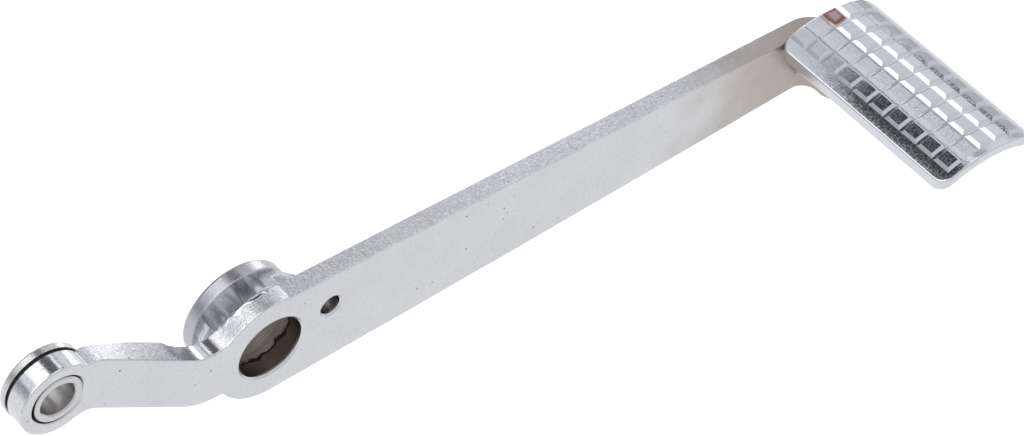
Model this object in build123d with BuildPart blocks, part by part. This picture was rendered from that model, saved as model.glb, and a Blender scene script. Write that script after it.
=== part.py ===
# Rear brake pedal of a motorbike: a cranked steel plate with a welded hub, a turning eye bush and a toothed foot pad.
# Frame: +X runs forward along the arm, +Y inboard, +Z up; the origin is on the pivot axis at the plate's outer face.
import os
from math import cos, hypot, radians, sin, tan

from build123d import *

# Plate
plate_thickness = 6.0
edge_round = 0.4
hub_radius = 17.0
arm_top_height = 16.3
arm_end_bottom = -4.7
arm_bottom_sag = 0.8

# Bend and the tab that carries the pad
tab_centre_x = 196.0
bend_inside_radius = 5.0
tab_length = 54.0
tab_tip_height = 4.0
tab_root_run = 9.0

# Pivot bore and the hole for the return spring
pivot_bore_radius = 10.0
bore_chamfer = 0.6
spring_hole_radius = 3.1
spring_hole_x = 19.0
spring_hole_z = 4.6

# Crank and eye
eye_x = -66.0
eye_z = 23.2
eye_radius = 11.0
crank_slope = 33.3
crank_width = 15.1
crank_top_offset = 4.4
crank_heel_run = 10.5
crank_heel_radius = 18.0
crank_toe_x = -53.0
crank_toe_radius = 8.0
crank_top_fillet = 10.0
notch_fillet = 2.0
eye_bottom_fillet = 7.0

# Hub turned with a flange, and the weld that fills between flange and plate
hub_length = 17.5
flange_radius = 15.8
flange_thickness = 4.6
flange_edge_round = 0.8
boss_radius = 12.6
weld_root_gap = 0.1
weld_toe_radius = 16.6
weld_waist_radius = 14.8
weld_top_radius = 15.3

# Eye bush and its washer
bush_bore_radius = 5.0
bush_sleeve_radius = 7.3
bush_running_gap = 0.08
bush_lip_chamfer = 0.5
bush_flange_radius = 11.2
bush_flange_thickness = 2.2
washer_thickness = 0.6
washer_radius = 10.7
washer_face_gap = 0.05

# Foot pad
pad_width = 36.0
pad_length = 66.6
pad_inner_y = 0.7
pad_thickness = 3.5
pad_arch_radius = 40.0
pad_corner_radius = 4.0
pad_edge_round = 0.7
pad_weld_gap = 0.5
pad_end_rim = 2.0
tooth_columns = 5
tooth_rows = 10
tooth_pitch_across = 6.0
tooth_height = 0.8
tooth_slope = 45.0
tooth_groove = 0.3
tooth_root = 0.2
pad_bead_leg = 4.0
pad_bead_start = 12.0
pad_bead_end = 50.0

# Values that follow from the sizes above
tab_inner_x = tab_centre_x - plate_thickness / 2
tab_outer_x = tab_centre_x + plate_thickness / 2
blank_end_x = tab_outer_x + plate_thickness
bend_start_x = tab_inner_x - bend_inside_radius
bend_outside_radius = bend_inside_radius + plate_thickness
eye_bore_radius = bush_sleeve_radius + bush_running_gap
washer_back_y = plate_thickness + washer_thickness
bush_flange_y = washer_back_y + washer_face_gap
bush_back_y = bush_flange_y + bush_flange_thickness
flange_front_y = hub_length - flange_thickness
pad_underside_z = arm_top_height + pad_weld_gap
pad_crown_z = pad_underside_z + pad_thickness
pad_arch_centre_z = pad_crown_z - pad_arch_radius
pad_outer_y = pad_inner_y - pad_length
pad_middle_y = (pad_inner_y + pad_outer_y) / 2
tooth_pitch_along = (pad_length - pad_end_rim) / tooth_rows
crank_turn = radians(crank_slope)
crank_heel_x = -hub_radius - crank_heel_run
blank_reach = 4 * hub_radius


def on_crank_edge(x, drop):
    """The point with this x on the line that lies so far below the crank's top edge."""
    return (x, -x * tan(crank_turn) - (crank_top_offset + drop) / cos(crank_turn))


def corners_on_circle(sketch, x, z, radius):
    """The sketch's corners on a circle, from the lowest to the highest."""
    corners = sketch.vertices().filter_by(lambda v: abs(hypot(v.X - x, v.Y - z) - radius) < radius / 1000)
    return corners.sort_by(Axis.Y)


# Side outline of the plate: hub, arm, crank and eye
toe = on_crank_edge(crank_toe_x, 0)
toe_end = (toe[0] - crank_toe_radius * sin(crank_turn), toe[1] + crank_toe_radius * (1 - cos(crank_turn)))
heel = on_crank_edge(crank_heel_x, crank_width)
heel_end = (heel[0] + crank_heel_radius * sin(crank_turn), heel[1] - crank_heel_radius * (1 - cos(crank_turn)))
arm_bottom_middle = (blank_end_x / 2, (arm_end_bottom - hub_radius) / 2 - arm_bottom_sag)

with BuildSketch(Plane.XZ) as plate_outline:
    Circle(hub_radius)
    with BuildLine():
        Polyline(
            (0, -hub_radius),
            (0, arm_top_height),
            (blank_end_x, arm_top_height),
            (blank_end_x, arm_end_bottom),
        )
        ThreePointArc((blank_end_x, arm_end_bottom), arm_bottom_middle, (0, -hub_radius))
    make_face()
    with BuildLine():
        Line(on_crank_edge(0, 0), toe)
        TangentArc(toe, toe_end, tangent=(-cos(crank_turn), sin(crank_turn)))
        Polyline(toe_end, (eye_x, eye_z), on_crank_edge(eye_x, crank_width), heel)
        TangentArc(heel, heel_end, tangent=(cos(crank_turn), -sin(crank_turn)))
        Polyline(heel_end, (-hub_radius / 2, heel_end[1]), on_crank_edge(0, 0))
    make_face()
    with Locations((eye_x, eye_z)):
        Circle(eye_radius)
    fillet(corners_on_circle(plate_outline, eye_x, eye_z, eye_radius)[0], eye_bottom_fillet)
    hub_corners = corners_on_circle(plate_outline, 0, 0, hub_radius).filter_by(lambda v: v.X < -hub_radius / 2)
    fillet(hub_corners[-1], crank_top_fillet)
    hub_corners = corners_on_circle(plate_outline, 0, 0, hub_radius).filter_by(lambda v: v.X < -hub_radius / 2)
    fillet(hub_corners[0], notch_fillet)

# Plan of the bent plate: straight run, bend towards the foot, tab under the pad
with BuildSketch(Plane.XY.offset(-blank_reach)) as plate_plan:
    with BuildLine():
        Line((eye_x - blank_reach, 0), (bend_start_x, 0))
        RadiusArc((bend_start_x, 0), (tab_inner_x, -bend_inside_radius), bend_inside_radius)
        Polyline(
            (tab_inner_x, -bend_inside_radius),
            (tab_inner_x, -tab_length),
            (tab_outer_x, -tab_length),
            (tab_outer_x, -bend_inside_radius),
        )
        RadiusArc((tab_outer_x, -bend_inside_radius), (bend_start_x, plate_thickness), -bend_outside_radius)
        Polyline(
            (bend_start_x, plate_thickness),
            (eye_x - blank_reach, plate_thickness),
            (eye_x - blank_reach, 0),
        )
    make_face()

# The tab's lower edge rises to its tip
tab_tip_z = arm_top_height - tab_tip_height
tab_rise = tab_tip_z - arm_end_bottom
with BuildSketch(Plane.YZ.offset(bend_start_x)) as tab_relief:
    Polygon(
        (tab_length - 2 * tab_root_run, arm_end_bottom - tab_rise),
        (-tab_length, tab_tip_z),
        (-tab_length - blank_reach, tab_tip_z),
        (-tab_length - blank_reach, arm_end_bottom - tab_rise),
        align=None,
    )

with BuildPart() as lever_arm:
    extrude(plate_plan.sketch, amount=2 * blank_reach)
    extrude(plate_outline.sketch, amount=blank_reach + tab_length, both=True, mode=Mode.INTERSECT)
    plate_faces = lever_arm.faces().filter_by(Axis.Y).sort_by(SortBy.AREA)[-2:]
    fillet(plate_faces.edges().filter_by(Axis.Z, reverse=True), edge_round)
    extrude(tab_relief.sketch, amount=blank_reach, mode=Mode.SUBTRACT)
    for hole_x, hole_z, hole_radius in (
        (0, 0, pivot_bore_radius),
        (spring_hole_x, spring_hole_z, spring_hole_radius),
        (eye_x, eye_z, eye_bore_radius),
    ):
        with Locations((hole_x, 0, hole_z)):
            Cylinder(hole_radius, 4 * plate_thickness, rotation=(90, 0, 0), mode=Mode.SUBTRACT)
    outer_face = lever_arm.faces().filter_by(Axis.Y).sort_by(SortBy.AREA)[-2:].sort_by(Axis.Y)[0]
    for rim in outer_face.inner_wires():
        chamfer(rim.edges(), bore_chamfer)

# Hub: a turned boss with a flange at its inboard end
with BuildPart() as pivot_hub:
    with BuildSketch(Plane.XY):
        Polygon(
            (pivot_bore_radius, plate_thickness),
            (boss_radius, plate_thickness),
            (boss_radius, flange_front_y),
            (flange_radius, flange_front_y),
            (flange_radius, hub_length),
            (pivot_bore_radius, hub_length),
            align=None,
        )
    revolve(axis=Axis.Y)
    flange_rims = pivot_hub.edges().filter_by(GeomType.CIRCLE).sort_by(SortBy.RADIUS)[-2:]
    fillet(flange_rims, flange_edge_round)
    inner_mouth = pivot_hub.faces().sort_by(Axis.Y)[-1].edges().sort_by(SortBy.RADIUS)[0]
    chamfer(inner_mouth, bore_chamfer)

# Weld that fills the groove between the plate's back and the flange
weld_inner_radius = boss_radius + weld_root_gap
weld_middle_y = (plate_thickness + flange_front_y) / 2
with BuildPart() as hub_weld:
    with BuildSketch(Plane.XY):
        with BuildLine():
            ThreePointArc(
                (weld_toe_radius, plate_thickness),
                (weld_waist_radius, weld_middle_y),
                (weld_top_radius, flange_front_y),
            )
            Polyline(
                (weld_top_radius, flange_front_y),
                (weld_inner_radius, flange_front_y),
                (weld_inner_radius, plate_thickness),
                (weld_toe_radius, plate_thickness),
            )
        make_face()
    revolve(axis=Axis.Y)

# Eye bush: a sleeve through the eye with a flange behind it
with BuildPart() as eye_bush:
    with BuildSketch(Plane.XY.offset(eye_z)):
        Polygon(
            (eye_x + bush_bore_radius, 0),
            (eye_x + bush_sleeve_radius, 0),
            (eye_x + bush_sleeve_radius, bush_flange_y),
            (eye_x + bush_flange_radius, bush_flange_y),
            (eye_x + bush_flange_radius, bush_back_y),
            (eye_x + bush_bore_radius, bush_back_y),
            align=None,
        )
    revolve(axis=Axis((eye_x, 0, eye_z), (0, 1, 0)))
    chamfer(eye_bush.faces().sort_by(Axis.Y)[0].edges(), bush_lip_chamfer)
    fillet(eye_bush.faces().sort_by(Axis.Y)[-1].edges(), bush_lip_chamfer)

# Black washer between the eye and the bush's flange
with BuildPart() as seal_washer:
    with BuildSketch(Plane.XZ.offset(-plate_thickness)):
        with Locations((eye_x, eye_z)):
            Circle(washer_radius)
            Circle(eye_bore_radius + bush_running_gap, mode=Mode.SUBTRACT)
    extrude(amount=-washer_thickness)

# Foot pad: an arched plate with rounded corners and rows of truncated pyramids
pad_underside_radius = pad_arch_radius - pad_thickness
with BuildSketch(Plane.XZ.offset(-pad_inner_y)) as pad_section:
    with Locations((tab_centre_x, pad_arch_centre_z)):
        Circle(pad_arch_radius)
        Circle(pad_underside_radius, mode=Mode.SUBTRACT)
with BuildSketch(Plane.XY) as pad_plan:
    with Locations((tab_centre_x, pad_middle_y)):
        RectangleRounded(pad_width, pad_length, pad_corner_radius)

with BuildPart() as foot_pad:
    extrude(pad_section.sketch, amount=pad_length)
    extrude(pad_plan.sketch, amount=pad_crown_z, mode=Mode.INTERSECT)
    pad_rims = foot_pad.faces().sort_by(SortBy.AREA)[-2:].edges()
    fillet(pad_rims, pad_edge_round)
    for column in range(tooth_columns):
        turn = (column - (tooth_columns - 1) / 2) * tooth_pitch_across / pad_arch_radius
        seat_radius = pad_arch_radius - tooth_root
        seat = Plane(
            origin=(
                tab_centre_x + seat_radius * sin(turn),
                pad_middle_y + pad_end_rim / 2,
                pad_arch_centre_z + seat_radius * cos(turn),
            ),
            x_dir=(cos(turn), 0, -sin(turn)),
            z_dir=(sin(turn), 0, cos(turn)),
        )
        with BuildSketch(seat):
            with GridLocations(tooth_pitch_across, tooth_pitch_along, 1, tooth_rows):
                Rectangle(tooth_pitch_across - tooth_groove, tooth_pitch_along - tooth_groove)
        extrude(amount=tooth_height + tooth_root, taper=tooth_slope)

# Weld beads under the pad, one on each side of the tab
with BuildPart() as pad_weld:
    with BuildSketch(Plane.XZ.offset(pad_bead_start)):
        for side in (-1, 1):
            root_x = tab_centre_x + side * plate_thickness / 2
            Polygon(
                (root_x, pad_crown_z),
                (root_x, pad_underside_z - pad_bead_leg),
                (root_x + side * pad_bead_leg, pad_underside_z),
                (root_x + side * pad_bead_leg, pad_crown_z),
                align=None,
            )
    extrude(amount=pad_bead_end - pad_bead_start)
    with BuildSketch(Plane.XZ.offset(pad_bead_start)):
        with Locations((tab_centre_x, pad_arch_centre_z)):
            Circle(2 * pad_arch_radius)
            Circle(pad_underside_radius, mode=Mode.SUBTRACT)
    extrude(amount=pad_bead_end - pad_bead_start, mode=Mode.SUBTRACT)

os.makedirs("parts", exist_ok=True)
for name, piece in (
    ("lever_arm", lever_arm),
    ("pivot_hub", pivot_hub),
    ("hub_weld", hub_weld),
    ("eye_bush", eye_bush),
    ("seal_washer", seal_washer),
    ("foot_pad", foot_pad),
    ("pad_weld", pad_weld),
):
    piece.part.label = name
    export_step(piece.part, f"parts/{name}.step")
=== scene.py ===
# Studio scene of a plated rear brake pedal: finishes for the CAD nodes, softened pad, uneven hub weld.
import bpy
import bmesh
import math
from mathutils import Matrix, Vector, noise


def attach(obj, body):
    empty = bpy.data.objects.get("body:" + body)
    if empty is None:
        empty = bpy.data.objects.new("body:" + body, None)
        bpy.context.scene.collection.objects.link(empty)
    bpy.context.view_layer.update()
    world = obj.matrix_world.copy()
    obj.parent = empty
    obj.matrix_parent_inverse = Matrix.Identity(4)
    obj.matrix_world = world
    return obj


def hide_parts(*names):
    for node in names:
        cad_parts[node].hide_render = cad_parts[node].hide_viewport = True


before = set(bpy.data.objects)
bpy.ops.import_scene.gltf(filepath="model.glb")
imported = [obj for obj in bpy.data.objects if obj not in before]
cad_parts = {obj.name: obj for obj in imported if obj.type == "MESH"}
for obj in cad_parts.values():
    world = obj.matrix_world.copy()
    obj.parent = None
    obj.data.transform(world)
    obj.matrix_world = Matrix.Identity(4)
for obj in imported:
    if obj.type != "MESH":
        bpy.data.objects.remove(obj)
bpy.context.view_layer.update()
print("frame loaded:", sorted(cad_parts))

mm = 0.001

# Where things are, in millimetres of the CAD frame
layout = {
    "boreEdge": (10.05, 10.15),
    "eyeX": -66.0,
    "eyeZ": 23.2,
    "springX": 19.0,
    "springZ": 4.6,
    "springEdge": (3.12, 3.25),
    "armTop": 16.3,
}


# Shader maths: a socket that adds Math nodes when it is used in an expression
class Sock:
    def __init__(self, mat, socket):
        self.mat = mat
        self.socket = socket

    def op(self, operation, *others):
        return self.mat.node("ShaderNodeMath", {"operation": operation}, [self, *others])

    def __add__(self, other):
        return self.op("ADD", other)

    __radd__ = __add__

    def __sub__(self, other):
        return self.op("SUBTRACT", other)

    def __rsub__(self, other):
        return self.mat.node("ShaderNodeMath", {"operation": "SUBTRACT"}, [other, self])

    def __mul__(self, other):
        return self.op("MULTIPLY", other)

    __rmul__ = __mul__

    def __truediv__(self, other):
        return self.op("DIVIDE", other)

    def __pow__(self, other):
        return self.op("POWER", other)

    def __abs__(self):
        return self.op("ABSOLUTE")

    def clamp(self):
        return self.mat.node("ShaderNodeClamp", {}, [self])

    def atLeast(self, other):
        return self.op("MAXIMUM", other)

    # soft step from 0 at low to 1 at high
    def ramp(self, low, high):
        settings = {"interpolation_type": "SMOOTHSTEP"}
        return self.mat.node("ShaderNodeMapRange", settings, [self, low, high, 0.0, 1.0])

    # the same for a length, with its ends in millimetres
    def past(self, low, high):
        return self.ramp(low * mm, high * mm)


class Finish:
    def __init__(self, name, tree=None):
        if tree is None:
            self.material = bpy.data.materials.new(name)
            self.material.use_nodes = True
            tree = self.material.node_tree
        self.tree = tree
        self.tree.nodes.clear()
        self.place = None

    def wire(self, value, target):
        if isinstance(value, Sock):
            self.tree.links.new(value.socket, target)
        else:
            target.default_value = value

    # any node: its type, its settings, then its sockets by order or by name; gives one output
    def node(self, kind, settings, inputs, output=0):
        made = self.tree.nodes.new(kind)
        for key, value in settings.items():
            if key == "stops":
                while len(made.color_ramp.elements) < len(value):
                    made.color_ramp.elements.new(1.0)
                for element, (position, colour) in zip(made.color_ramp.elements, value):
                    element.position = position
                    element.color = (*colour, 1.0)
            else:
                setattr(made, key, value)
        pairs = inputs.items() if isinstance(inputs, dict) else enumerate(inputs)
        for key, value in pairs:
            self.wire(value, made.inputs[key])
        return Sock(self, made.outputs[output])

    def coords(self):
        if self.place is None:
            self.place = self.node("ShaderNodeTexCoord", {}, {}, "Object")
        return self.place

    def parts(self, vector):
        split = self.tree.nodes.new("ShaderNodeSeparateXYZ")
        self.wire(vector, split.inputs[0])
        return [Sock(self, out) for out in split.outputs]

    def xyz(self):
        return self.parts(self.coords())

    def noise(self, scale, detail=2.0, rough=0.5, stretch=None):
        where = self.coords()
        if stretch:
            where = self.node("ShaderNodeMapping", {}, {"Vector": where, "Scale": stretch})
        inputs = {"Vector": where, "Scale": scale, "Detail": detail, "Roughness": rough}
        return self.node("ShaderNodeTexNoise", {}, inputs, "Fac")

    def cells(self, scale):
        return self.node("ShaderNodeTexVoronoi", {}, {"Vector": self.coords(), "Scale": scale}, "Distance")

    def mix(self, factor, first, second):
        return self.node("ShaderNodeMix", {"data_type": "RGBA"}, {0: factor, 6: first, 7: second}, 2)

    # depth in millimetres
    def bump(self, height, strength, depth):
        inputs = {"Height": height, "Strength": strength, "Distance": depth * mm}
        return self.node("ShaderNodeBump", {}, inputs)

    # distance in metres from a line along Y through x, z in millimetres
    def aroundY(self, x, z):
        px, py, pz = self.xyz()
        dx = px - x * mm
        dz = pz - z * mm
        return (dx * dx + dz * dz) ** 0.5

    def surface(self, **inputs):
        shader = self.tree.nodes.new("ShaderNodeBsdfPrincipled")
        for key, value in inputs.items():
            self.wire(value, shader.inputs[key.replace("_", " ")])
        out = self.tree.nodes.new("ShaderNodeOutputMaterial")
        self.tree.links.new(shader.outputs[0], out.inputs[0])
        return self.material


def rgb(r, g, b):
    return (r, g, b, 1.0)


# Rusty joint between plate and hub, seen in the bore
seamLook = {
    "colour": rgb(0.035, 0.018, 0.014),
    "depth": 6.0,
    "jag": 5.5,
    "jagScale": 330.0,
    "edge": (0.3, 0.8),
}


def boreSeam(f):
    py = f.xyz()[1]
    jag = (f.noise(seamLook["jagScale"], 4.0, 0.65) - 0.5) * (seamLook["jag"] * mm)
    away = abs(py + jag - seamLook["depth"] * mm)
    return 1.0 - away.past(*seamLook["edge"])


# Painted shade: a dark line in the gap between the eye and its bush, widest at the lower left where the
# shadow falls
gapShadeLook = {
    "colour": rgb(0.01, 0.01, 0.01),
    "radius": 7.3,
    "least": 0.12,
    "wider": 0.22,
    "lowerLeft": (-6.0, 8.0),
    "edge": (0.7, 1.3),
    "depth": (3.0, 4.0),
}


def eyeGapShade(f, fromEye):
    px, py, pz = f.xyz()
    lowerLeft = (layout["eyeX"] * mm - px) + (layout["eyeZ"] * mm - pz)
    width = gapShadeLook["least"] * mm + gapShadeLook["wider"] * mm * lowerLeft.past(*gapShadeLook["lowerLeft"])
    away = abs(fromEye - gapShadeLook["radius"] * mm)
    return (1.0 - (away / width).ramp(*gapShadeLook["edge"])) * (1.0 - py.past(*gapShadeLook["depth"]))


# Bright plating on the cut plate: smooth front, coarser edges, bare bore, painted shade down the spring
# hole's wall, and a painted warm reflection of the pad with shade of its bend on the arm near the pad
plateLook = {
    "metal": rgb(0.67, 0.675, 0.685),
    "shade": rgb(0.53, 0.535, 0.55),
    "padReflectionAndShade": rgb(0.40, 0.345, 0.295),
    "bare": rgb(0.15, 0.125, 0.105),
    "pit": rgb(0.16, 0.14, 0.13),
    "grainScale": 2300.0,
    "cloudScale": 70.0,
    "dentScale": 900.0,
    "speckScale": 1050.0,
    "edgeY": (0.3, 0.6),
    "frontTone": 1.5,
    "edgeTone": 1.3,
    "cloudTone": 0.7,
    "plainTone": 0.35,
    "padReflectionX": (130.0, 186.0),
    "padReflectionWander": 30.0,
    "padReflectionFront": 0.92,
    "padReflectionLostBehind": 0.72,
    "backY": (5.2, 6.0),
    "pitCells": 250.0,
    "pitSize": (0.06, 0.10),
    "pitPatchScale": 110.0,
    "pitPatch": (0.48, 0.58),
    "pitDark": 0.75,
    "pitDepth": 1.2,
    "boreY": (0.7, 1.2),
    "springShadeY": (0.6, 1.6),
    "springShade": 0.85,
    "eyeRimInner": (10.4, 10.7),
    "eyeRimOuter": (11.2, 11.5),
    "heelLeft": (-31.0, -27.0),
    "heelRight": (-18.0, -13.0),
    "heelTop": (14.0, 17.0),
    "roughness": 0.23,
    "roughGrain": 0.2,
    "roughPolished": -0.1,
    "roughBore": 0.15,
    "grainHeight": 1.2,
    "dentHeight": 0.8,
    "frontCoarse": 0.62,
    "edgeCoarse": 0.38,
    "armCalm": 0.30,
    "armX": (20.0, 50.0),
    "polishedCalm": 0.8,
    "boreCalm": 0.7,
    "ringWaves": 9000.0,
    "ringHeight": 0.3,
    "bump": 0.55,
    "bumpDepth": 0.16,
}


def platedPlate():
    look = plateLook
    f = Finish("platedPlate")
    px, py, pz = f.xyz()
    grain = f.noise(look["grainScale"], 3.0, 0.6)
    cloud = f.noise(look["cloudScale"], 3.0, 0.5)
    dents = f.noise(look["dentScale"], 2.0, 0.5)
    speck = f.noise(look["speckScale"], 4.0, 0.7)
    onEdge = py.past(*look["edgeY"])

    speckTone = (speck - 0.5) * (look["frontTone"] + onEdge * look["edgeTone"])
    tone = speckTone + (cloud - 0.5) * look["cloudTone"] + look["plainTone"]
    colour = f.mix(tone.clamp(), look["metal"], look["shade"])
    # painted warm reflection of the pad and shade of the bend on the arm near the pad, fainter on the back
    # face
    padReflectionX = px + (cloud - 0.5) * (look["padReflectionWander"] * mm)
    padReflectionMost = look["padReflectionFront"] - look["padReflectionLostBehind"] * py.past(*look["backY"])
    colour = f.mix(padReflectionX.past(*look["padReflectionX"]) * padReflectionMost, colour, look["padReflectionAndShade"])
    pits = 1.0 - f.cells(look["pitCells"]).ramp(*look["pitSize"])
    pits = pits * f.noise(look["pitPatchScale"], 1.0, 0.5).ramp(*look["pitPatch"])
    colour = f.mix(pits * look["pitDark"], colour, look["pit"])

    # painted shade: the spring hole's wall darkens deeper than about a millimetre from the front, where
    # shade falls inside the hole
    fromSpring = f.aroundY(layout["springX"], layout["springZ"])
    shadedSpringWall = (1.0 - fromSpring.past(*layout["springEdge"])) * py.past(*look["springShadeY"])
    colour = f.mix(shadedSpringWall * look["springShade"], colour, look["bare"])
    inBore = (1.0 - f.aroundY(0.0, 0.0).past(*layout["boreEdge"])) * py.past(*look["boreY"])
    colour = f.mix(inBore, colour, look["bare"])
    colour = f.mix(boreSeam(f) * inBore, colour, seamLook["colour"])
    fromEye = f.aroundY(layout["eyeX"], layout["eyeZ"])
    # painted shade in the gap round the eye's bush
    colour = f.mix(eyeGapShade(f, fromEye), colour, gapShadeLook["colour"])

    # the eye's turned rim and the crank's heel are smoother than the cut edges
    onEye = fromEye.past(*look["eyeRimInner"]) * (1.0 - fromEye.past(*look["eyeRimOuter"]))
    heel = px.past(*look["heelLeft"]) * (1.0 - px.past(*look["heelRight"]))
    heel = heel * onEdge * (1.0 - pz.past(*look["heelTop"]))
    polished = onEye.atLeast(heel)
    rough = look["roughness"] + (grain - 0.5) * look["roughGrain"]
    rough = rough + polished * look["roughPolished"] + inBore * look["roughBore"]

    armCalm = look["armCalm"] * px.past(*look["armX"])
    coarse = grain * look["grainHeight"] + dents * look["dentHeight"]
    coarse = coarse * (look["frontCoarse"] + onEdge * (look["edgeCoarse"] - armCalm))
    coarse = coarse * (1.0 - polished * look["polishedCalm"]) * (1.0 - inBore * look["boreCalm"])
    rings = (py * look["ringWaves"]).op("SINE") * inBore
    height = coarse + rings * look["ringHeight"] - pits * look["pitDepth"]
    normal = f.bump(height, look["bump"], look["bumpDepth"])
    return f.surface(Base_Color=colour, Metallic=1.0, Roughness=rough, Normal=normal)


# Plated outside, bare bore with turning marks and scratches
hubLook = {
    "metal": rgb(0.45, 0.45, 0.47),
    "bare": rgb(0.17, 0.14, 0.115),
    "mark": rgb(0.42, 0.38, 0.34),
    "grainScale": 1100.0,
    "streakScale": 500.0,
    "scratchScale": 900.0,
    "scratchStretch": (0.12, 1.6, 0.12),
    "ringWaves": 9500.0,
    "ringWander": 7.0,
    "ringShare": 0.4,
    "scratchShare": 3.0,
    "markTone": 0.4,
    "roughness": 0.28,
    "roughGrain": 0.15,
    "roughBore": 0.2,
    "grainHeight": 0.8,
    "markHeight": 0.5,
    "bump": 0.4,
    "bumpDepth": 0.16,
}


def platedHub():
    look = hubLook
    f = Finish("platedHub")
    py = f.xyz()[1]
    grain = f.noise(look["grainScale"], 3.0, 0.6)
    streak = f.noise(look["streakScale"], 3.0, 0.6)
    scratch = f.noise(look["scratchScale"], 4.0, 0.7, look["scratchStretch"])
    inBore = 1.0 - f.aroundY(0.0, 0.0).past(*layout["boreEdge"])
    rings = (py * look["ringWaves"] + streak * look["ringWander"]).op("SINE")
    marks = rings * look["ringShare"] + (scratch - 0.5) * look["scratchShare"]
    bare = f.mix((marks * look["markTone"] + 0.5).clamp(), look["bare"], look["mark"])
    bare = f.mix(boreSeam(f), bare, seamLook["colour"])
    colour = f.mix(inBore, look["metal"], bare)
    rough = look["roughness"] + (grain - 0.5) * look["roughGrain"] + inBore * look["roughBore"]
    height = grain * (1.0 - inBore) * look["grainHeight"] + marks * inBore * look["markHeight"]
    normal = f.bump(height, look["bump"], look["bumpDepth"])
    return f.surface(Base_Color=colour, Metallic=1.0, Roughness=rough, Normal=normal)


# Plating over weld metal, close to a mirror
weldLook = {
    "bright": rgb(0.66, 0.67, 0.70),
    "dull": rgb(0.52, 0.53, 0.57),
    "grainScale": 900.0,
    "rippleScale": 260.0,
    "grainHeight": 0.3,
    "rippleHeight": 0.7,
    "roughness": 0.05,
    "roughGrain": 0.06,
    "bump": 0.22,
    "bumpDepth": 0.3,
}


def platedWeld():
    look = weldLook
    f = Finish("platedWeld")
    grain = f.noise(look["grainScale"], 2.0, 0.5)
    ripple = f.noise(look["rippleScale"], 3.0, 0.55)
    colour = f.mix(grain, look["bright"], look["dull"])
    rough = look["roughness"] + grain * look["roughGrain"]
    height = grain * look["grainHeight"] + ripple * look["rippleHeight"]
    normal = f.bump(height, look["bump"], look["bumpDepth"])
    return f.surface(Base_Color=colour, Metallic=1.0, Roughness=rough, Normal=normal)


# Plated tread: painted shade in dark specks on the faces that lean to the low side, worn duller near the
# arm, one rusty tooth
padLook = {
    "bright": rgb(0.72, 0.73, 0.75),
    "dull": rgb(0.55, 0.56, 0.59),
    "speck": rgb(0.12, 0.12, 0.13),
    "rust": rgb(0.22, 0.095, 0.055),
    "grainScale": 3600.0,
    "cloudScale": 140.0,
    "speckScale": 1500.0,
    "shadeSpeckCut": (0.44, 0.56),
    "shadeSpeckDark": 0.75,
    "shadeSpeckLostWorn": 0.9,
    "wornY": (-34.0, -4.0),
    "leanFrom": (-0.52, -0.45),
    "leanTo": (-0.26, -0.20),
    "endFacing": (0.1, 0.3),
    "rustX": 196.0,
    "rustY": -2.6,
    "rustWander": 2.0,
    "rustEdge": (2.3, 3.0),
    "rustRing": (1.0, 2.2),
    "rustTop": 0.55,
    "rustDull": 0.6,
    "roughness": 0.09,
    "roughGrain": 0.10,
    "roughCloud": 0.06,
    "roughRust": 0.4,
    "roughWorn": 0.34,
    "wornHeight": 4.0,
    "bump": 0.22,
    "bumpDepth": 0.14,
}


def platedPad():
    look = padLook
    f = Finish("platedPad")
    px, py = f.xyz()[:2]
    grain = f.noise(look["grainScale"], 2.0, 0.6)
    cloud = f.noise(look["cloudScale"], 2.0, 0.5)
    nx, ny = f.parts(f.node("ShaderNodeTexCoord", {}, {}, "Normal"))[:2]
    # painted shade: the dark specks go only on faces turned towards the low side, fewer where worn
    leaning = nx.ramp(*look["leanFrom"]) * (1.0 - nx.ramp(*look["leanTo"]))
    leaning = leaning * (1.0 - abs(ny).ramp(*look["endFacing"]))
    worn = py.past(*look["wornY"])
    colour = f.mix(grain, look["bright"], look["dull"])
    shadeSpecks = f.noise(look["speckScale"], 3.0, 0.7).ramp(*look["shadeSpeckCut"])
    shadeSpecks = shadeSpecks * leaning * (1.0 - worn * look["shadeSpeckLostWorn"])
    colour = f.mix(shadeSpecks * look["shadeSpeckDark"], colour, look["speck"])

    dx = abs(px - look["rustX"] * mm)
    dy = abs(py - look["rustY"] * mm)
    away = dx.atLeast(dy) + (cloud - 0.5) * (look["rustWander"] * mm)
    ring = look["rustTop"] + (1.0 - look["rustTop"]) * away.past(*look["rustRing"])
    rust = (1.0 - away.past(*look["rustEdge"])) * ring
    colour = f.mix(rust, colour, look["rust"])

    rough = look["roughness"] + (grain - 0.5) * look["roughGrain"] + (cloud - 0.5) * look["roughCloud"]
    rough = rough + rust * look["roughRust"] + worn * leaning * look["roughWorn"]
    height = grain * (1.0 + worn * leaning * look["wornHeight"])
    return f.surface(
        Base_Color=colour,
        Metallic=1.0 - rust * look["rustDull"],
        Roughness=rough,
        Normal=f.bump(height, look["bump"], look["bumpDepth"]),
    )


# Turned steel bush with a duller bore
bushLook = {
    "bright": rgb(0.66, 0.66, 0.66),
    "dull": rgb(0.52, 0.51, 0.50),
    "bore": rgb(0.30, 0.28, 0.26),
    "boreDark": 0.6,
    "boreEdge": (5.0, 5.3),
    "grainScale": 1200.0,
    "roughness": 0.2,
    "roughGrain": 0.12,
    "roughBore": 0.08,
    "bump": 0.3,
    "bumpDepth": 0.16,
}


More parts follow.
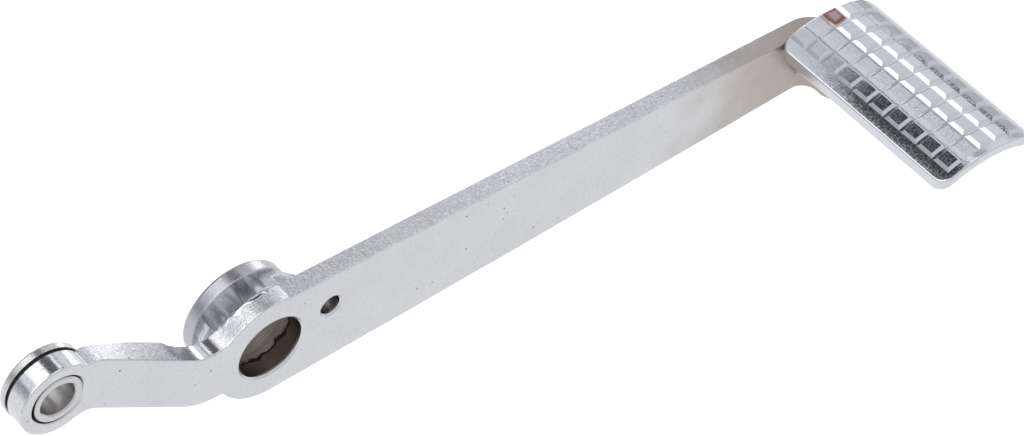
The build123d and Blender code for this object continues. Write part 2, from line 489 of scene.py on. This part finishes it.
def turnedBush():
    look = bushLook
    f = Finish("turnedBush")
    grain = f.noise(look["grainScale"], 3.0, 0.6)
    fromEye = f.aroundY(layout["eyeX"], layout["eyeZ"])
    inBore = 1.0 - fromEye.past(*look["boreEdge"])
    colour = f.mix(grain, look["bright"], look["dull"])
    colour = f.mix(inBore * look["boreDark"], colour, look["bore"])
    # painted shade in the gap round the eye's bush
    colour = f.mix(eyeGapShade(f, fromEye), colour, gapShadeLook["colour"])
    rough = look["roughness"] + grain * look["roughGrain"] + inBore * look["roughBore"]
    normal = f.bump(grain, look["bump"], look["bumpDepth"])
    return f.surface(Base_Color=colour, Metallic=1.0, Roughness=rough, Normal=normal)


# Black ring between the eye and the bush's flange
washerLook = {
    "dark": rgb(0.004, 0.004, 0.005),
    "pale": rgb(0.010, 0.010, 0.011),
    "grainScale": 900.0,
    "roughness": 0.7,
    "roughGrain": 0.2,
}


def blackWasher():
    look = washerLook
    f = Finish("blackWasher")
    grain = f.noise(look["grainScale"], 2.0, 0.5)
    colour = f.mix(grain, look["dark"], look["pale"])
    return f.surface(Base_Color=colour, Roughness=look["roughness"] + grain * look["roughGrain"])


finishes = {
    "plate": platedPlate(),
    "hub": platedHub(),
    "weld": platedWeld(),
    "pad": platedPad(),
    "bush": turnedBush(),
    "washer": blackWasher(),
}
dressing = {
    "lever_arm": "plate",
    "pivot_hub": "hub",
    "hub_weld": "weld",
    "pad_weld": "weld",
    "foot_pad": "pad",
    "eye_bush": "bush",
    "seal_washer": "washer",
}
for node, finish in dressing.items():
    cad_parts[node].data.materials.clear()
    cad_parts[node].data.materials.append(finishes[finish])
print("finishes set")


# A mesh object from a finished bmesh, riding on a body and standing for a CAD node
def addPiece(name, shape, finish, body, node=None):
    mesh = bpy.data.meshes.new(name)
    bmesh.ops.recalc_face_normals(shape, faces=shape.faces)
    shape.to_mesh(mesh)
    shape.free()
    mesh.materials.append(finishes[finish])
    for face in mesh.polygons:
        face.use_smooth = True
    piece = bpy.data.objects.new(name, mesh)
    bpy.context.scene.collection.objects.link(piece)
    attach(piece, body)
    if node:
        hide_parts(node)
    return piece


def smooth(low, high, value):
    t = min(max((value - low) / (high - low), 0.0), 1.0)
    return t * t * (3.0 - 2.0 * t)


# Weld round the hub: laps over the plate's top edge, swoops up to the flange, lumpy on the left
weld = {
    "aroundSteps": 240,
    "acrossSteps": 26,
    "merge": 0.01,
    "plateBack": 6.0,
    "plateSink": 0.4,
    "flangeFace": 12.9,
    "flangeDepth": 0.35,
    "toeRadius": 16.6,
    "hubRadius": 17.0,
    "rimLimit": 19.6,
    "flangeRadius": 15.6,
    "swoop": 1.8,
    "followFrom": (38.0, 56.0),  # degrees round the pivot, from the arm upwards
    "lapFrom": (70.0, 88.0),
    "leftFrom": (70.0, 105.0),
    "endsAt": (138.0, 152.0),
    "armFrom": 50.0,
    "lapStart": 0.3,
    "lapDepth": 1.6,
    "lapHeight": 0.06,
    "lapTuck": 0.5,
    "lapWander": 1.6,
    "lapWaves": 6.0,
    "lapSeed": 2.0,
    "sag": 0.9,
    "lump": 1.5,
    "lumpSize": 8.0,
    "lumpSeed": (3.1, 0.4, 7.7),
    "lumpRight": 0.2,
    "lumpEnds": 0.15,
    "ripple": 0.04,
    "rippleSize": 2.6,
    "rippleSeed": (0.9, 5.2, 1.3),
    "rippleRight": 0.3,
}


# how far the weld follows the plate's rim, and how far it laps over it, by angle
def weldReach(degrees):
    ends = 1.0 - smooth(*weld["endsAt"], degrees)
    return smooth(*weld["followFrom"], degrees) * ends, smooth(*weld["lapFrom"], degrees) * ends


# the plate's rim as the weld sees it: the hub's round, then the arm's straight top
def plateRim(degrees):
    if degrees <= weld["armFrom"]:
        return layout["armTop"] / math.sin(math.radians(weld["armFrom"]))
    if degrees < 90.0:
        return max(weld["hubRadius"], layout["armTop"] / math.sin(math.radians(degrees)))
    return weld["hubRadius"]


def weldSpot(turn, radius, y):
    return Vector((radius * math.cos(turn), y, radius * math.sin(turn)))


def weldRadius(turn, y):
    degrees = math.degrees(turn) % 360.0
    follow = weldReach(degrees)[0]
    rim = min(plateRim(degrees), weld["rimLimit"]) + weld["lapHeight"]
    toe = weld["toeRadius"] + follow * (rim - weld["toeRadius"])
    depth = weld["flangeFace"] - weld["plateBack"]
    span = min(max((y - weld["plateBack"] + weld["plateSink"]) / depth, 0.0), 1.0)
    belly = 4.0 * span * (1.0 - span)
    left = smooth(*weld["leftFrom"], degrees)
    radius = toe + (weld["flangeRadius"] - toe) * (1.0 - (1.0 - span) ** weld["swoop"])
    radius -= weld["sag"] * belly * left
    spot = weldSpot(turn, radius, y)
    lumps = noise.noise(spot / weld["lumpSize"] + Vector(weld["lumpSeed"])) * weld["lump"]
    lumps *= weld["lumpRight"] + (1.0 - weld["lumpRight"]) * left
    lumps *= weld["lumpEnds"] + (1.0 - weld["lumpEnds"]) * belly
    ripples = noise.noise(spot / weld["rippleSize"] + Vector(weld["rippleSeed"])) * weld["ripple"]
    ripples *= weld["rippleRight"] + (1.0 - weld["rippleRight"]) * left
    return radius + lumps + ripples


# a flat grid rolled into a ring, its two rims joined on the inside
def buildWeld():
    shape = bmesh.new()
    bmesh.ops.create_grid(
        shape, x_segments=weld["aroundSteps"], y_segments=weld["acrossSteps"], size=1.0
    )
    high = weld["flangeFace"] + weld["flangeDepth"]
    for vert in shape.verts:
        atToe = vert.co.y < -0.999
        turn = (vert.co.x + 1.0) * math.pi
        follow, lap = weldReach(math.degrees(turn) % 360.0)
        wave = Vector((turn * weld["lapWaves"], weld["lapSeed"], 0.0))
        wander = noise.noise(wave) * weld["lapWander"]
        low = weld["plateBack"] - weld["lapStart"] * follow - lap * (weld["lapDepth"] + wander)
        y = low + (high - low) * (vert.co.y + 1.0) / 2.0
        radius = weldRadius(turn, y)
        if atToe:
            radius -= weld["lapTuck"] * lap  # the lap's edge dips into the plate
        vert.co = weldSpot(turn, radius, y) * mm
    bmesh.ops.remove_doubles(shape, verts=shape.verts, dist=weld["merge"] * mm)
    rims = [edge for edge in shape.edges if edge.is_boundary]
    bmesh.ops.bridge_loops(shape, edges=rims)
    addPiece("hubWeldBead", shape, "weld", "lever", "hub_weld")


# The crank's cut edge leans: its back runs a little higher than its front
crankEdge = {
    "slope": 33.3,
    "drop": 4.4,
    "startX": -53.0,
    "fullFrom": -40.0,
    "fullTo": -32.0,
    "flatFrom": -28.0,
    "endX": -27.5,
    "frontY": 0.4,
    "backY": 6.02,
    "rise": 1.25,
    "least": 0.03,
    "skirt": 2.5,
    "stepsAlong": 60,
    "stepsAcross": 8,
    "sharp": 40.0,
    "near": 0.001,
}


def buildCrankEdge():
    shape = bmesh.new()
    bmesh.ops.create_grid(
        shape, x_segments=crankEdge["stepsAlong"], y_segments=crankEdge["stepsAcross"], size=1.0
    )
    slope = math.radians(crankEdge["slope"])
    length = crankEdge["endX"] - crankEdge["startX"]
    thickness = crankEdge["backY"] - crankEdge["frontY"]
    for vert in shape.verts:
        x = crankEdge["startX"] + length * (vert.co.x + 1.0) / 2.0
        across = (vert.co.y + 1.0) / 2.0
        y = crankEdge["frontY"] + thickness * across
        window = smooth(crankEdge["startX"], crankEdge["fullFrom"], x)
        window *= 1.0 - smooth(crankEdge["fullTo"], crankEdge["flatFrom"], x)
        rise = crankEdge["least"] + crankEdge["rise"] * window * across
        z = -x * math.tan(slope) - crankEdge["drop"] / math.cos(slope) + rise
        vert.co = Vector((x, y, z)) * mm
    backFrom = (crankEdge["backY"] - crankEdge["near"]) * mm
    borders = [edge for edge in shape.edges if edge.is_boundary]
    backEdges = [edge for edge in borders if all(v.co.y > backFrom for v in edge.verts)]
    made = bmesh.ops.extrude_edge_only(shape, edges=backEdges)
    skirt = [item for item in made["geom"] if isinstance(item, bmesh.types.BMVert)]
    bmesh.ops.translate(shape, vec=(0.0, 0.0, -crankEdge["skirt"] * mm), verts=skirt)
    piece = addPiece("crankEdge", shape, "plate", "lever")
    piece.data.flip_normals()  # the open strip comes out facing down
    piece.data.set_sharp_from_angle(angle=math.radians(crankEdge["sharp"]))


# Foot pad with its tooth edges softened
padEdges = {
    "merge": 0.002,
    "flat": 0.6,
    "sharp": 14.0,
    "bevel": 0.22,
    "segments": 3,
}


def buildPad():
    shape = bmesh.new()
    shape.from_mesh(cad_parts["foot_pad"].data)
    bmesh.ops.remove_doubles(shape, verts=shape.verts, dist=padEdges["merge"] * mm)
    flat = math.radians(padEdges["flat"])
    bmesh.ops.dissolve_limit(shape, angle_limit=flat, verts=shape.verts, edges=shape.edges)
    sharp = math.radians(padEdges["sharp"])
    folds = [edge for edge in shape.edges if len(edge.link_faces) == 2]
    bmesh.ops.bevel(
        shape,
        geom=[edge for edge in folds if edge.calc_face_angle() > sharp],
        offset=padEdges["bevel"] * mm,
        affect="EDGES",
        segments=padEdges["segments"],
        profile=0.5,
        material=-1,
        clamp_overlap=True,
    )
    piece = addPiece("footPad", shape, "pad", "lever", "foot_pad")
    soften = piece.modifiers.new("soften", "WEIGHTED_NORMAL")
    soften.keep_sharp = True


buildWeld()
buildCrankEdge()
buildPad()
print("weld, crank edge and pad built")

# Camera at the photograph's viewpoint
view = {
    "place": (-0.3533, -0.4061, 0.6144),
    "turn": (43.721, -6.836, -39.818),
    "focalPixels": 3160.0,
    "widthPixels": 1024.0,
    "sensor": 36.0,
    "clipEnd": 20.0,
}
camera = bpy.data.objects.new("camera", bpy.data.cameras.new("camera"))
bpy.context.scene.collection.objects.link(camera)
camera.location = view["place"]
camera.rotation_euler = [math.radians(a) for a in view["turn"]]
camera.data.sensor_fit = "HORIZONTAL"
camera.data.sensor_width = view["sensor"]
camera.data.lens = view["focalPixels"] * view["sensor"] / view["widthPixels"]
camera.data.clip_end = view["clipEnd"]
bpy.context.scene.camera = camera
print("camera placed")

# Studio: a row of overhead panels with a dark gap, a small low panel, a white floor well below.
# The sky's stops run from the right (0) over the top (0.5) to the left (1).
studio = {
    "floorDrop": 0.30,
    "floorSize": 8.0,
    "floorColour": rgb(0.6, 0.6, 0.6),
    "floorRoughness": 0.9,
    "floorGlow": 0.62,  # as the camera sees it
    "mirrorGlow": 0.50,  # as the metal mirrors it
    "farGlow": 0.35,  # more of that far to the right
    "farX": (0.8, 3.0),
    "sky": [
        (0.00, (0.72, 0.73, 0.75)),
        (0.08, (0.56, 0.57, 0.61)),
        (0.28, (0.45, 0.46, 0.49)),
        (0.34, (0.15, 0.15, 0.16)),
        (0.56, (0.15, 0.15, 0.16)),
        (0.62, (0.22, 0.23, 0.26)),
        (0.86, (0.26, 0.27, 0.31)),
        (1.00, (0.70, 0.71, 0.75)),
    ],
    "front": rgb(0.80, 0.81, 0.86),
    "frontFrom": (0.12, -0.08),
    "panelHeight": 1.0,
    "panels": {
        "farLeftPanel": {"x": (-2.40, -1.15), "y": (-0.35, 1.60), "light": 0.80, "tint": (0.94, 0.96, 1.0)},
        "leftPanel": {"x": (-1.10, -0.06), "y": (-0.35, 0.92), "light": 1.50, "tint": (1.0, 1.0, 1.0)},
        "middlePanel": {"x": (0.50, 0.64), "y": (-0.35, 0.84), "light": 1.65, "tint": (0.97, 0.98, 1.0)},
        "rightPanel": {"x": (0.84, 2.60), "y": (-0.40, 1.60), "light": 0.46, "tint": (0.92, 0.93, 1.0)},
        "backPanel": {"x": (0.05, 0.68), "y": (0.88, 1.70), "light": 1.10, "tint": (0.94, 0.95, 1.0)},
    },
    "lowPanel": {
        "place": (0.252, 0.178, 0.092),
        "aim": (-0.024, 0.003, 0.012),
        "size": (0.05, 0.12),
        "light": 2.6,
        "tint": (1.0, 1.0, 1.0),
    },
}


# light is the panel's brightness, where 1 is white
def addLamp(name, place, aim, size, light, tint):
    lamp = bpy.data.objects.new(name, bpy.data.lights.new(name, "AREA"))
    lamp.data.shape = "RECTANGLE"
    lamp.data.size = size[0]
    lamp.data.size_y = size[1]
    lamp.data.energy = light * size[0] * size[1] * math.pi
    lamp.data.color = tint
    lamp.location = place
    lamp.rotation_euler = (Vector(aim) - Vector(place)).to_track_quat("-Z", "Y").to_euler()
    lamp.visible_camera = False
    bpy.context.scene.collection.objects.link(lamp)


def buildLamps():
    for name, panel in studio["panels"].items():
        x0, x1 = panel["x"]
        y0, y1 = panel["y"]
        centre = ((x0 + x1) / 2.0, (y0 + y1) / 2.0)
        place = (*centre, studio["panelHeight"])
        addLamp(name, place, (*centre, 0.0), (x1 - x0, y1 - y0), panel["light"], panel["tint"])
    addLamp("lowPanel", **studio["lowPanel"])


# white to the camera, a shaded sky to everything else
def buildWorld():
    world = bpy.data.worlds.new("studio")
    bpy.context.scene.world = world
    world.use_nodes = True
    f = Finish("studio", world.node_tree)
    dx, dy, dz = f.parts(f.node("ShaderNodeTexCoord", {}, {}, "Generated"))
    turn = dz.op("ARCTAN2", dx) / math.pi
    sky = f.node("ShaderNodeValToRGB", {"stops": studio["sky"]}, [turn.clamp()])
    sky = f.mix(dy.ramp(*studio["frontFrom"]), sky, studio["front"])
    cameraRay = f.node("ShaderNodeLightPath", {}, {}, "Is Camera Ray")
    colour = f.mix(cameraRay, sky, rgb(1.0, 1.0, 1.0))
    background = f.node("ShaderNodeBackground", {}, {"Color": colour, "Strength": 1.0})
    out = f.tree.nodes.new("ShaderNodeOutputWorld")
    f.wire(background, out.inputs[0])


def paleFloor():
    f = Finish("paleFloor")
    seen = f.node("ShaderNodeLightPath", {}, {}, "Is Camera Ray") * studio["floorGlow"]
    glossy = f.node("ShaderNodeLightPath", {}, {}, "Is Glossy Ray")
    mirrored = glossy.atLeast(f.node("ShaderNodeLightPath", {}, {}, "Is Transmission Ray"))
    farX = f.xyz()[0].ramp(*studio["farX"])
    glow = seen.atLeast(mirrored * (studio["mirrorGlow"] + studio["farGlow"] * farX))
    return f.surface(
        Base_Color=studio["floorColour"],
        Roughness=studio["floorRoughness"],
        Emission_Color=f.mix(glow, rgb(0.0, 0.0, 0.0), rgb(1.0, 1.0, 1.0)),
        Emission_Strength=1.0,
    )


def buildFloor():
    grid = bmesh.new()
    bmesh.ops.create_grid(grid, x_segments=1, y_segments=1, size=studio["floorSize"])
    bmesh.ops.translate(grid, vec=(0.0, 0.0, -studio["floorDrop"]), verts=grid.verts)
    mesh = bpy.data.meshes.new("floor")
    grid.to_mesh(mesh)
    grid.free()
    mesh.materials.append(paleFloor())
    floor = bpy.data.objects.new("floor", mesh)
    bpy.context.scene.collection.objects.link(floor)


buildWorld()
buildFloor()
buildLamps()
bpy.context.scene.view_settings.view_transform = "Standard"
print("studio lit")
